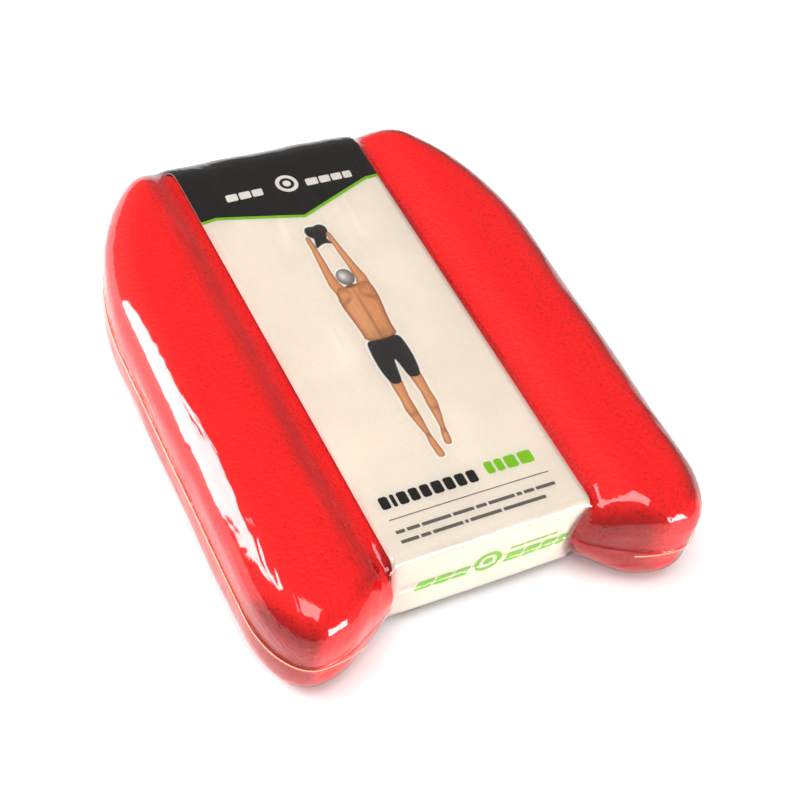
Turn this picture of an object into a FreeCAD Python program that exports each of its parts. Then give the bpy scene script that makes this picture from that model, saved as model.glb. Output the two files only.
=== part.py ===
import FreeCAD, Part
import os
import math
import Sketcher

# Swim kickboard and pull buoy in one, as sold: a horseshoe-shaped foam board whose two thick
# side lobes are joined by a thinner web, a printed card sleeve round the web, and shrink film
# round everything.  +X is across the board, +Y towards the straight far edge and +Z up.  The
# origin is under the middle of the board, on the surface that it lies on.  Every solid is drawn
# about the board's middle height and lifted there by its Placement.

doc = FreeCAD.newDocument("kickboard")

# ------------------------------------------------------------------ driving sizes, mm and degrees

SIZES = {
    # foam board
    "board_length": 296.0,
    "board_width": 230.0,
    "lobe_thickness": 57.0,
    "web_thickness": 38.0,
    "far_flat_half": 50.0,
    "far_corner_length": 112.0,
    "far_corner_radius": 42.0,
    "near_corner_radius": 36.0,
    "rim_round": 19.0,
    "valley_side_room": 3.0,
    "shoulder_run": 7.6,
    "shoulder_drop": 4.0,
    "brow_run": 17.5,
    "brow_round": 22.0,
    "web_roll": 16.0,
    "notch_depth": 28.0,
    "knee_depth": 18.5,
    "knee_half": 50.5,
    "heel_half": 72.0,
    # card sleeve and the tape in its lap
    "card_width": 105.0,
    "card_thickness": 0.4,
    "card_rise": 3.2,
    "card_face_gap": 0.3,
    "card_end_gap": 1.0,
    "card_side_gap": 0.8,
    "flap_fold": 0.9,
    "panel_fold": 3.0,
    "card_shift": 1.5,
    "card_skew": 0.7,
    "flap_length": 14.0,
    "tape_length": 84.0,
    "tape_width": 12.0,
    "tape_thickness": 0.2,
    # shrink film and its heat-seal line
    "film_gap": 0.3,
    "film_thickness": 0.3,
    "film_card_gap": 1.0,
    "bead_width": 0.8,
    "bead_height": 1.4,
}

sheet = doc.addObject("Spreadsheet::Sheet", "sizes")
for row, (alias, value) in enumerate(SIZES.items(), start=1):
    sheet.set("A%d" % row, alias)
    sheet.set("B%d" % row, str(value))
    sheet.setAlias("B%d" % row, alias)
doc.recompute()


ACROSS = FreeCAD.Vector(1, 0, 0)
UPWARD = FreeCAD.Vector(0, 0, 1)
SCRATCH_CELL = "D1"

# Half widths of the valley that the sleeve lies in: its flat foot, the shoulder and the brow.
VALLEY_FOOT = "$card_width / 2 + $card_shift + $valley_side_room"
SHOULDER = VALLEY_FOOT + " + $shoulder_run"
VALLEY_BROW = VALLEY_FOOT + " + $brow_run"

# Cutters reach this far past the board, and a quarter's cutters start just across its middle.
PAST_BOARD = "10"
OVER_MIDDLE = "-1"


def bound(text):
    """The expression with every size name turned into a reference to the sheet."""
    for alias in sorted(SIZES, key=len, reverse=True):
        text = text.replace("$" + alias, "sizes." + alias)
    return text


def value_of(text):
    """The same expression's value, for a sketch's first guess."""
    for alias in sorted(SIZES, key=len, reverse=True):
        text = text.replace("$" + alias, "(%r)" % float(sheet.get(alias)))
    sheet.set(SCRATCH_CELL, "=" + text)
    doc.recompute([sheet])
    result = sheet.get(SCRATCH_CELL)
    return float(getattr(result, "Value", result))


# ------------------------------------------------------------------------------ sketch helpers

def plane_of(body, role):
    """One of the body's own origin planes."""
    return [item for item in body.Origin.OriginFeatures if item.Role == role][0]


def new_sketch(body, name, role):
    sketch = body.newObject("Sketcher::SketchObject", name)
    sketch.AttachmentSupport = (plane_of(body, role), "")
    sketch.MapMode = "FlatFace"
    return sketch


def pin_point(sketch, edge, end, axis, text):
    """Bind one coordinate of an edge's end point to an expression."""
    amount = value_of(text)
    if abs(amount) < 1e-9:
        own_axis = -2 if axis == "X" else -1
        sketch.addConstraint(Sketcher.Constraint("PointOnObject", edge, end, own_axis))
        return
    index = sketch.addConstraint(Sketcher.Constraint("Distance" + axis, -1, 1, edge, end, amount))
    sketch.setExpression("Constraints[%d]" % index, bound(text))


def pin_radius(sketch, edge, text):
    index = sketch.addConstraint(Sketcher.Constraint("Radius", edge, value_of(text)))
    sketch.setExpression("Constraints[%d]" % index, bound(text))


def arc_leftwards(start, end, radius):
    """The short arc from start to end that turns to the left."""
    chord = end - start
    height = math.sqrt(max(radius ** 2 - (chord.Length / 2) ** 2, 0.0))
    to_centre = FreeCAD.Vector(-chord.y, chord.x, 0).normalize()
    middle = (start + end) * 0.5 - to_centre * (radius - height)
    return Part.Arc(start, middle, end)


def draw_path(sketch, steps, closed=True):
    """Draw a chain of edges.

    Each step is (x, y) for a straight edge that starts there, or (x, y, radius) for an arc that
    starts there and turns left.  All values are expressions.  An open chain ends at its last step.
    """
    corners = [FreeCAD.Vector(value_of(step[0]), value_of(step[1]), 0) for step in steps]
    count = len(steps) if closed else len(steps) - 1
    for index in range(count):
        start = corners[index]
        end = corners[(index + 1) % len(steps)]
        if len(steps[index]) == 2:
            sketch.addGeometry(Part.LineSegment(start, end))
        else:
            sketch.addGeometry(arc_leftwards(start, end, value_of(steps[index][2])))
    for index in range(count if closed else count - 1):
        sketch.addConstraint(Sketcher.Constraint("Coincident", index, 2, (index + 1) % count, 1))
    for index, step in enumerate(steps):
        edge, end = (index, 1) if index < count else (index - 1, 2)
        pin_point(sketch, edge, end, "X", step[0])
        pin_point(sketch, edge, end, "Y", step[1])
        if len(step) == 3:
            pin_radius(sketch, edge, step[2])


def pad(body, name, sketch, length, side="One side"):
    feature = body.newObject("PartDesign::Pad", name)
    feature.Profile = sketch
    feature.setExpression("Length", bound(length))
    feature.SideType = side
    doc.recompute()
    return feature


def pocket(body, name, sketch, length, side="One side", turned_round=False):
    """Cut with a sketch and make sure that it took material away."""
    before = body.Tip.Shape.Volume
    feature = body.newObject("PartDesign::Pocket", name)
    feature.Profile = sketch
    feature.setExpression("Length", bound(length))
    feature.SideType = side
    feature.Reversed = turned_round
    doc.recompute()
    if not feature.Shape.Volume < before - 1e-3:
        raise RuntimeError(name + " cuts nothing")
    return feature


def round_edges(body, name, base, radius, wanted):
    """Fillet the edges of the base feature that the test picks out."""
    picked = ["Edge%d" % (index + 1) for index, edge in enumerate(base.Shape.Edges) if wanted(edge)]
    feature = body.newObject("PartDesign::Fillet", name)
    feature.Base = (base, picked)
    feature.setExpression("Radius", bound(radius))
    doc.recompute()
    return feature


# ------------------------------------------------------- one quarter of the board, or of its film

def draw_half_outline(sketch, grow):
    """Half of the board's plan, grown outwards on every side, with the notch still filled in."""
    far = value_of("$board_length / 2 + " + grow)
    side = value_of("$board_width / 2 + " + grow)
    flat = value_of("$far_flat_half")
    side_start = value_of("$board_length / 2 - $far_corner_length")
    small = value_of("$far_corner_radius + " + grow)
    near_round = value_of("$near_corner_radius + " + grow)
    across = side - flat
    along = far - side_start
    large = (across ** 2 + along ** 2 - 2 * along * small) / (2 * (across - small))
    small_centre = FreeCAD.Vector(flat, far - small, 0)
    large_centre = FreeCAD.Vector(side - large, side_start, 0)
    near_centre = FreeCAD.Vector(side - near_round, near_round - far, 0)
    towards = small_centre - large_centre
    meet = math.atan2(towards.y, towards.x)
    corners = (
        FreeCAD.Vector(0, far, 0),
        FreeCAD.Vector(flat, far, 0),
        FreeCAD.Vector(side, side_start, 0),
        FreeCAD.Vector(side, near_centre.y, 0),
        FreeCAD.Vector(near_centre.x, -far, 0),
        FreeCAD.Vector(0, -far, 0),
    )
    sketch.addGeometry(Part.LineSegment(corners[0], corners[1]))
    sketch.addGeometry(Part.ArcOfCircle(Part.Circle(small_centre, UPWARD, small), meet, math.pi / 2))
    sketch.addGeometry(Part.ArcOfCircle(Part.Circle(large_centre, UPWARD, large), 0, meet))
    sketch.addGeometry(Part.LineSegment(corners[2], corners[3]))
    near_circle = Part.Circle(near_centre, UPWARD, near_round)
    sketch.addGeometry(Part.ArcOfCircle(near_circle, -math.pi / 2, 0))
    sketch.addGeometry(Part.LineSegment(corners[4], corners[5]))
    sketch.addGeometry(Part.LineSegment(corners[5], corners[0]))
    smooth_joins = ((0, 2, 1, 2), (1, 1, 2, 2), (2, 1, 3, 1), (3, 2, 4, 2), (4, 1, 5, 1))
    for edge, end, other, other_end in smooth_joins:
        sketch.addConstraint(Sketcher.Constraint("Tangent", edge, end, other, other_end))
    sketch.addConstraint(Sketcher.Constraint("Coincident", 5, 2, 6, 1))
    sketch.addConstraint(Sketcher.Constraint("Coincident", 6, 2, 0, 1))
    for edge, kind in ((0, "Horizontal"), (3, "Vertical"), (5, "Horizontal")):
        sketch.addConstraint(Sketcher.Constraint(kind, edge))
    pin_point(sketch, 0, 1, "X", "0")
    pin_point(sketch, 5, 2, "X", "0")
    pin_point(sketch, 0, 1, "Y", "$board_length / 2 + " + grow)
    pin_point(sketch, 5, 2, "Y", "-$board_length / 2 - (%s)" % grow)
    pin_point(sketch, 0, 2, "X", "$far_flat_half")
    pin_point(sketch, 3, 1, "X", "$board_width / 2 + " + grow)
    pin_point(sketch, 3, 1, "Y", "$board_length / 2 - $far_corner_length")
    pin_radius(sketch, 1, "$far_corner_radius + " + grow)
    pin_radius(sketch, 4, "$near_corner_radius + " + grow)


def board_quarter(name, grow, web_edge):
    """The quarter of the board with X and Z above zero, grown outwards on every face.

    web_edge is the Y of the notch's inner edge.
    """
    top = value_of("$lobe_thickness / 2 + " + grow)
    crest = "$lobe_thickness / 2 + " + PAST_BOARD
    floor = "$web_thickness / 2 + " + grow
    past_tips = "-$board_length / 2 - " + PAST_BOARD

    def on_rim(edge):
        box = edge.BoundBox
        return box.ZMin > top - 1e-6 and box.XMax > 1e-6

    body = doc.addObject("PartDesign::Body", name)
    outline = new_sketch(body, name + "_outline", "XY_Plane")
    draw_half_outline(outline, grow)
    block = pad(body, name + "_block", outline, "$lobe_thickness / 2 + " + grow)
    round_edges(body, name + "_rim", block, "$rim_round + " + grow, on_rim)

    valley = new_sketch(body, name + "_valley", "XZ_Plane")
    draw_path(valley, (
        (OVER_MIDDLE, floor),
        (OVER_MIDDLE, crest),
        (VALLEY_BROW + " - (%s)" % grow, crest),
        (VALLEY_BROW + " - (%s)" % grow, "$lobe_thickness / 2 + " + grow, "$brow_round"),
        (SHOULDER + " - (%s)" % grow, "$lobe_thickness / 2 - $shoulder_drop + " + grow),
        (VALLEY_FOOT + " - (%s)" % grow, floor),
    ))
    pocket(body, name + "_trough", valley, "2 * $board_length", "Symmetric")

    roll = new_sketch(body, name + "_roll", "YZ_Plane")
    draw_path(roll, (
        ("$board_length / 2 + " + grow, floor + " - $web_roll - (%s)" % grow, "$web_roll + " + grow),
        ("$board_length / 2 - $web_roll", floor),
        ("$board_length / 2 - $web_roll", crest),
        ("$board_length / 2 + " + PAST_BOARD, crest),
        ("$board_length / 2 + " + PAST_BOARD, floor + " - $web_roll - (%s)" % grow),
    ))
    pocket(body, name + "_web_end", roll, "2 * (%s - (%s))" % (VALLEY_FOOT, grow), "Symmetric")

    notch = new_sketch(body, name + "_notch", "XY_Plane")
    draw_path(notch, (
        (OVER_MIDDLE, web_edge),
        (OVER_MIDDLE, past_tips),
        ("$heel_half - (%s)" % grow, past_tips),
        ("$heel_half - (%s)" % grow, "-$board_length / 2 - (%s)" % grow),
        ("$knee_half - (%s)" % grow, "-$board_length / 2 + $knee_depth - (%s)" % grow),
        ("$knee_half - (%s)" % grow, web_edge),
    ))
    pocket(body, name + "_mouth", notch, "$lobe_thickness", turned_round=True)
    return body


def mirrored(name, source, normal):
    """A mirror image through the board's middle."""
    image = doc.addObject("Part::Mirroring", name)
    image.Source = source
    image.Normal = normal
    return image


def fused(name, *pieces):
    union = doc.addObject("Part::MultiFuse", name)
    union.Shapes = list(pieces)
    union.Refine = True
    return union


def whole_half(name, quarter, upper):
    """Both sides of the board's upper or lower half, from its upper right quarter."""
    other = mirrored(name + "_other_side", quarter, ACROSS)
    if upper:
        return fused(name, quarter, other)
    turned_down = mirrored(name + "_side", quarter, UPWARD)
    other_down = mirrored(name + "_other_side_down", other, UPWARD)
    return fused(name, turned_down, other_down)


def finish_piece(item, label):
    """Name a finished sub-part and set it down so that the wrapped board lies on Z = 0.

    The wrapping stands out further past the far edge than past the tips, so the board is also
    moved back by half of the difference.
    """
    item.Label = label
    item.setExpression(
        "Placement.Base.z", bound("$lobe_thickness / 2 + $film_gap + $film_thickness"))
    item.setExpression("Placement.Base.y", bound(
        "-($card_end_gap + $card_thickness + $film_card_gap - $bead_width) / 2"))
    FINISHED.append(item)


FINISHED = []
WEB_EDGE = "-$board_length / 2 + $notch_depth"

# ------------------------------------------------------------------------------------- foam board

foam_quarter = board_quarter("foam_quarter", "0", WEB_EDGE)
finish_piece(whole_half("foam_top", foam_quarter, True), "foam_upper")
finish_piece(whole_half("foam_base", foam_quarter, False), "foam_lower")

# ------------------------------------------------------------------------- card sleeve and its tape

# The strip's middle line, in the board's YZ plane.  It starts as a flap on the web's top, goes
# down the near wall, under the web, up round the far edge and back over the top, and its other
# end comes down the near wall over the flap.
FLAP_TOP = "($web_thickness / 2 + $card_face_gap + $card_thickness / 2)"
PANEL = "($web_thickness / 2 + $card_rise + $card_thickness / 2)"
FAR_WALL = "($board_length / 2 + $card_end_gap + $card_thickness / 2)"
NEAR_WALL = "(-$board_length / 2 + $notch_depth - $card_end_gap - $card_thickness / 2)"
LAP_WALL = "(%s - $card_thickness - $tape_thickness)" % NEAR_WALL
NEAR_SHIFT = "($card_shift + sin($card_skew * 1 deg) * ($board_length / 2 - $notch_depth))"


def turn_with_sleeve(item):
    """Shift a sleeve piece sideways and turn it by the sleeve's small skew."""
    item.setExpression("Placement.Base.x", bound("-$card_shift"))
    item.setExpression("Placement.Rotation.Angle", bound("-$card_skew"))


sleeve = doc.addObject("PartDesign::Body", "sleeve")
strip_line = new_sketch(sleeve, "strip_line", "YZ_Plane")
draw_path(strip_line, (
    (NEAR_WALL + " + $flap_length", FLAP_TOP),
    (NEAR_WALL + " + $flap_fold", FLAP_TOP, "$flap_fold"),
    (NEAR_WALL, FLAP_TOP + " - $flap_fold"),
    (NEAR_WALL, "$panel_fold - " + PANEL, "$panel_fold"),
    (NEAR_WALL + " + $panel_fold", "-" + PANEL),
    (FAR_WALL + " - $web_roll", "-" + PANEL, "$web_roll"),
    (FAR_WALL, "$web_roll - " + PANEL),
    (FAR_WALL, PANEL + " - $web_roll", "$web_roll"),
    (FAR_WALL + " - $web_roll", PANEL),
    (LAP_WALL + " + $panel_fold", PANEL, "$panel_fold"),
    (LAP_WALL, PANEL + " - $panel_fold"),
    (LAP_WALL, "$panel_fold - " + PANEL),
), closed=False)
strip_section = new_sketch(sleeve, "strip_section", "XZ_Plane")
strip_section.setExpression("AttachmentOffset.Base.z", bound("-%s - $flap_length" % NEAR_WALL))
draw_path(strip_section, (
    ("-$card_width / 2", FLAP_TOP + " - $card_thickness / 2"),
    ("$card_width / 2", FLAP_TOP + " - $card_thickness / 2"),
    ("$card_width / 2", FLAP_TOP + " + $card_thickness / 2"),
    ("-$card_width / 2", FLAP_TOP + " + $card_thickness / 2"),
))
doc.recompute()
strip = sleeve.newObject("PartDesign::AdditivePipe", "strip")
strip.Profile = strip_section
strip.Spine = strip_line
doc.recompute()

# The notch is narrower than the card, so the near wall's edges are pinched in to fit between
# its sides.
pinch = new_sketch(sleeve, "pinch", "XZ_Plane")
PINCH_LEFT = "-$knee_half + $card_side_gap + " + NEAR_SHIFT
PINCH_TOP = "($web_thickness / 2 + $card_face_gap)"
draw_path(pinch, (
    ("-$card_width", "-" + PINCH_TOP),
    (PINCH_LEFT, "-" + PINCH_TOP),
    (PINCH_LEFT, PINCH_TOP),
    ("-$card_width", PINCH_TOP),
))
pocket(sleeve, "pinched_edge", pinch, "$board_length", turned_round=True)
finish_piece(sleeve, "sleeve_card")
turn_with_sleeve(sleeve)

tape = doc.addObject("PartDesign::Body", "tape")
tape_section = new_sketch(tape, "tape_section", "YZ_Plane")
draw_path(tape_section, (
    (LAP_WALL + " + $card_thickness / 2", "-$tape_width / 2"),
    (NEAR_WALL + " - $card_thickness / 2", "-$tape_width / 2"),
    (NEAR_WALL + " - $card_thickness / 2", "$tape_width / 2"),
    (LAP_WALL + " + $card_thickness / 2", "$tape_width / 2"),
))
pad(tape, "tape_strip", tape_section, "$tape_length", "Symmetric")
finish_piece(tape, "sleeve_tape")
turn_with_sleeve(tape)

# ------------------------------------------------------------------------------------- shrink film

FILM_WEB_EDGE = LAP_WALL + " - $card_thickness / 2 - $film_card_gap - "
FILM_FAR = FAR_WALL + " + $card_thickness / 2 + $film_card_gap + "
COVER_HALF = "$card_width / 2 + %s + $film_card_gap + " % NEAR_SHIFT


def film_quarter(name, grow):
    """Everything inside the film's face at this distance from the foam, in one quarter."""
    board = board_quarter(name + "_board", grow, FILM_WEB_EDGE + grow)
    cover = doc.addObject("PartDesign::Body", name + "_cover")
    section = new_sketch(cover, name + "_cover_section", "YZ_Plane")
    cover_top = PANEL + " + $card_thickness / 2 + " + grow
    draw_path(section, (
        (FILM_WEB_EDGE + grow, "0"),
        (FILM_FAR + grow, "0"),
        (FILM_FAR + grow, cover_top + " - $web_roll", "$web_roll"),
        (FILM_FAR + grow + " - $web_roll", cover_top),
        (FILM_WEB_EDGE + grow, cover_top),
    ))
    pad(cover, name + "_cover_block", section, COVER_HALF + grow)
    return fused(name, board, cover)


film_inside = film_quarter("film_inside", "$film_gap")
film_outside = film_quarter("film_outside", "($film_gap + $film_thickness)")
film_shell = doc.addObject("Part::Cut", "film_shell")
film_shell.Base = film_outside
film_shell.Tool = film_inside
finish_piece(whole_half("film_top", film_shell, True), "film_top_web")
finish_piece(whole_half("film_base", film_shell, False), "film_bottom_web")

# The film's heat-seal line stands out along both sides at middle height, from the near tip to the
# far corner.
seal = doc.addObject("PartDesign::Body", "seal")
seal_plan = new_sketch(seal, "seal_plan", "XY_Plane")
draw_half_outline(seal_plan, "($film_gap + $film_thickness + $bead_width)")
pad(seal, "seal_block", seal_plan, "$bead_height", "Symmetric")
film_plan = new_sketch(seal, "film_plan", "XY_Plane")
draw_half_outline(film_plan, "($film_gap + $film_thickness)")
pocket(seal, "seal_inside", film_plan, "2 * $bead_height", "Symmetric")
between_tips = new_sketch(seal, "between_tips", "XY_Plane")
draw_path(between_tips, (
    (OVER_MIDDLE, "-$board_length"),
    ("$heel_half", "-$board_length"),
    ("$heel_half", "$board_length"),
    (OVER_MIDDLE, "$board_length"),
))
pocket(seal, "seal_ends", between_tips, "2 * $bead_height", "Symmetric")
finish_piece(seal, "film_seal_right")
seal_left = mirrored("seal_left", seal, ACROSS)
seal_left.Label = "film_seal_left"
FINISHED.append(seal_left)

doc.recompute()

# ------------------------------------------------------------------------------- check and export

for item in doc.Objects:
    for problem in ("Invalid", "Error"):
        if problem in item.State:
            raise RuntimeError("%s is %s" % (item.Name, problem))
for item in FINISHED:
    shape = item.Shape
    if shape.isNull() or not shape.isValid() or shape.Volume <= 0:
        raise RuntimeError(item.Label + " has no valid shape")

os.makedirs("parts", exist_ok=True)
for item in FINISHED:
    item.Shape.exportStep(os.path.join("parts", item.Label + ".step"))
    box = item.Shape.BoundBox
    print("%-16s %10.1f mm3  %7.2f %7.2f  %7.2f %7.2f  %6.2f %6.2f" % (
        item.Label, item.Shape.Volume, box.XMin, box.XMax, box.YMin, box.YMax, box.ZMin, box.ZMax))
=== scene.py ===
"""Looks of a swim kickboard and pull buoy in one: red foam board, printed card sleeve and shrink film."""
import math

import bmesh
import bpy
import numpy as np
from mathutils import Matrix, Vector
from mathutils.geometry import delaunay_2d_cdt


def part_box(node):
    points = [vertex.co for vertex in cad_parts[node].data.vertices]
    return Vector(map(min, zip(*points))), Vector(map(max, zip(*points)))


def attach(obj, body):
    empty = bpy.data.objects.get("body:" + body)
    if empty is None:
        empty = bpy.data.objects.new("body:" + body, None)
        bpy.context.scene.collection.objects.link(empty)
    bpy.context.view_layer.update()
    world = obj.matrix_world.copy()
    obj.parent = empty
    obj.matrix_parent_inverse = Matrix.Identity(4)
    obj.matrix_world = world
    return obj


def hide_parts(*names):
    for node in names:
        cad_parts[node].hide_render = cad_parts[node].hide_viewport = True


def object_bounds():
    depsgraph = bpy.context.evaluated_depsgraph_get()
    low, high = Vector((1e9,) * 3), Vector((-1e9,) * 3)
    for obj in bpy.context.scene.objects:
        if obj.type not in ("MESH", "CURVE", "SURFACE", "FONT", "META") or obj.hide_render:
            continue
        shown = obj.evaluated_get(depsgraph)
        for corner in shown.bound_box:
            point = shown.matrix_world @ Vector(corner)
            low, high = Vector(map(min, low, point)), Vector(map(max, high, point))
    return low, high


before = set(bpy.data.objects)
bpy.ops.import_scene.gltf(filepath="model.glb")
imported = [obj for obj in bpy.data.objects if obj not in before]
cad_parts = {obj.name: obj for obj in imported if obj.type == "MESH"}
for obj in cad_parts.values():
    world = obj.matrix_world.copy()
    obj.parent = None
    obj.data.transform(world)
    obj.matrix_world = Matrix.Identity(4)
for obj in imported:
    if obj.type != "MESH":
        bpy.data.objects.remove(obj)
cad_box = [list(corner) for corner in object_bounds()]

# ------------------------------------------------------------------ sizes, in metres
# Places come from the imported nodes.  Only what the plain CAD solids leave out has a value here.

MM = 0.001
foam_low, foam_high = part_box("foam_upper")
card_low, card_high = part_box("sleeve_card")

HALF_WIDTH = foam_high.x + 0.1 * MM
FAR_EDGE = foam_high.y
TIP_EDGE = foam_low.y + 1.2 * MM
PARTING = foam_low.z
CREST = foam_high.z - PARTING

FAR_FLAT_HALF = 54 * MM
FAR_CORNER_LENGTH = 104 * MM
FAR_CORNER_POWER = 1.88
FAR_BULGE = 1.4 * MM
NEAR_CORNER_ACROSS = 21 * MM
NEAR_CORNER_ALONG = 35 * MM
HEEL_HALF = 69 * MM
HEEL_RISE = 5.0 * MM
KNEE_HALF = 50.4 * MM
KNEE_RISE = 18.5 * MM

OUTER_RIM = 17 * MM
WEB_RIM = 27 * MM
NOTCH_RIM = 14 * MM
WALL_SHARE = 0.43
WEB_WALL_SHARE = 0.15
WEB_HALF = 19 * MM
VALLEY_FOOT = 50 * MM
VALLEY_BROW = 78 * MM
CROWN = 1.2 * MM

CARD_WIDTH = 105 * MM
CARD_SHEET = 0.4 * MM
CARD_SKEW = math.radians(0.7)
CARD_SHIFT = (card_low.x + card_high.x) / 2
SKEW_REACH = CARD_WIDTH / 2 * math.sin(CARD_SKEW)
CARD_NEAR = card_low.y + SKEW_REACH
CARD_FAR = card_high.y - SKEW_REACH
PANEL = card_high.z - PARTING
NEAR_FOLD = 4.5 * MM
FAR_FOLD = 20 * MM
BOTTOM_FOLD = 2.5 * MM
LAP_FOLD = 0.6 * MM
RAW_EDGE_RISE = 0.2 * MM
CARD_CROWN = 0.5 * MM
FLAP_LENGTH = 30 * MM
FLAP_GAP = 1.0 * MM
FOLD_POINTS = 17
PINCH_LEFT = 4.5 * MM
PINCH_RIGHT = 1.6 * MM
PINCH_START = 0.7
PINCH_DEPTH = 0.75
FOOT_RUN = 14 * MM
FOOT_EASE = 0.35
WEB_EDGE = CARD_NEAR + 2 * MM
WEB_FAR = CARD_FAR - 1.2 * MM

FILM_GAP = 0.7 * MM
FILM_BRIDGE = 8 * MM
FOAM_STEP = 2.0 * MM
FILM_STEP = 1.5 * MM
FOAM_ROUNDS = 4
FILM_ROUNDS = 6
REST_GAP = 0.1 * MM

# sRGB 0..1 triples, turned into linear light where they are used
FOAM_RED = (0.96, 0.02, 0.03)
FOAM_RED_DEEP = (0.83, 0.015, 0.025)
CARD_CREAM = (0.925, 0.885, 0.835)
PRINT_BLACK = (0.075, 0.065, 0.055)
PRINT_GREEN = (0.50, 0.76, 0.08)
PRINT_WHITE = (0.93, 0.91, 0.88)
PRINT_GREY = (0.38, 0.36, 0.34)


def linear(colour):
    """An sRGB colour as linear light."""
    return tuple(c / 12.92 if c <= 0.04045 else ((c + 0.055) / 1.055) ** 2.4 for c in colour)


# ------------------------------------------------------------------ plane geometry

def distance_inside(x, y, outline, closed=True):
    """Signed distance to an outline, positive inside it.

    An open outline is half of a mirrored one, that starts and ends on x = 0.
    """
    nearest = np.full(np.shape(x), np.inf)
    inside = np.zeros(np.shape(x), bool)
    ends = np.roll(outline, -1, axis=0)
    pairs = list(zip(outline, ends))
    for (ax, ay), (bx, by) in pairs if closed else pairs[:-1]:
        ex, ey = bx - ax, by - ay
        share = np.clip(((x - ax) * ex + (y - ay) * ey) / max(ex * ex + ey * ey, 1e-18), 0, 1)
        nearest = np.minimum(nearest, (x - ax - share * ex) ** 2 + (y - ay - share * ey) ** 2)
        if ay != by:
            inside ^= ((ay > y) != (by > y)) & (x < ax + (y - ay) / (by - ay) * ex)
    return np.where(inside, 1.0, -1.0) * np.sqrt(nearest)


def smooth_step(low, high, value):
    share = np.clip((value - low) / (high - low), 0, 1)
    return share * share * (3 - 2 * share)


def smooth_smaller(a, b, reach):
    """The smaller of two fields, with the crease between them bridged over that reach."""
    share = np.clip(0.5 + 0.5 * (b - a) / reach, 0, 1)
    return b + (a - b) * share - reach * share * (1 - share)


def board_outline():
    """Right half of the plan with the notch still filled in, from the far edge to the tips."""
    turn = np.linspace(0, math.pi / 2, 60)
    power = 2 / FAR_CORNER_POWER
    corner_width = HALF_WIDTH - FAR_FLAT_HALF
    far_lip = FAR_EDGE + FAR_BULGE
    far_x = FAR_FLAT_HALF + corner_width * np.sin(turn) ** power
    far_y = far_lip - FAR_CORNER_LENGTH * (1 - np.abs(np.cos(turn)) ** power)
    near_x = HALF_WIDTH - NEAR_CORNER_ACROSS * (1 - np.cos(turn))
    near_y = TIP_EDGE + NEAR_CORNER_ALONG * (1 - np.sin(turn))
    share = np.linspace(0, 1, 12)[1:]
    tip_x = near_x[-1] + (HEEL_HALF - near_x[-1]) * share
    tip_y = TIP_EDGE + HEEL_RISE * share ** 2
    edge_x = np.linspace(0, FAR_FLAT_HALF, 30)[:-1]
    bulge_start = 0.8 * FAR_FLAT_HALF
    edge_y = WEB_FAR + (far_lip - WEB_FAR) * smooth_step(bulge_start, FAR_FLAT_HALF, edge_x)
    x = np.concatenate([edge_x, far_x, near_x, tip_x, [0]])
    y = np.concatenate([edge_y, far_y, near_y, tip_y, [TIP_EDGE + HEEL_RISE]])
    return np.column_stack([x, y])


def notch_outline():
    """Right half of the notch between the tips."""
    heel_y = TIP_EDGE + HEEL_RISE
    knee_y = TIP_EDGE + KNEE_RISE
    past = 25 * MM
    lean = (HEEL_HALF - KNEE_HALF) / (knee_y - heel_y)
    return np.array([
        (0, WEB_EDGE), (KNEE_HALF, WEB_EDGE), (KNEE_HALF, knee_y), (HEEL_HALF, heel_y),
        (HEEL_HALF + lean * past, heel_y - past), (0, heel_y - past)])


BOARD = board_outline()
NOTCH = notch_outline()


def board_rims(x, y):
    """How far a plan point is into the rounded rim: 0 on the flat top, 1 on the side wall."""
    rim = WEB_RIM + (OUTER_RIM - WEB_RIM) * smooth_step(VALLEY_FOOT, VALLEY_BROW, np.abs(x))
    side = np.clip(1 - distance_inside(np.abs(x), y, BOARD, closed=False) / rim, 0, None)
    mouth = np.clip(1 + distance_inside(np.abs(x), y, NOTCH, closed=False) / NOTCH_RIM, 0, None)
    return (side ** 4 + mouth ** 4) ** 0.25


def board_height(x):
    """Half thickness of the board: thin at the web, full on the lobes."""
    across = np.abs(x)
    rise = smooth_step(VALLEY_FOOT, VALLEY_BROW, across)
    outward = np.clip((across - VALLEY_BROW) / (HALF_WIDTH - VALLEY_BROW), 0, 1)
    return WEB_HALF + (CREST - WEB_HALF) * rise - CROWN * outward ** 2


def foam_field(x, y, z):
    """Negative inside the foam.  x, y and z are the axes of a grid."""
    rims = board_rims(*np.meshgrid(x, y, indexing="ij"))[:, :, None]
    height = board_height(x)[:, None, None]
    lobe = smooth_step(VALLEY_FOOT, VALLEY_BROW, np.abs(x))[:, None, None]
    wall = (WEB_WALL_SHARE + (WALL_SHARE - WEB_WALL_SHARE) * lobe) * height
    climb = np.clip((np.abs(z)[None, None, :] - wall) / (height - wall), 0, None)
    return np.sqrt(rims ** 2 + climb ** 2) - 1


def as_distance(field, step):
    """A field's values as about the distance from its surface."""
    slopes = np.gradient(field, step)
    return field / np.maximum(np.sqrt(sum(s * s for s in slopes)), 1e-6)


# ------------------------------------------------------------------ meshes

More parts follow.
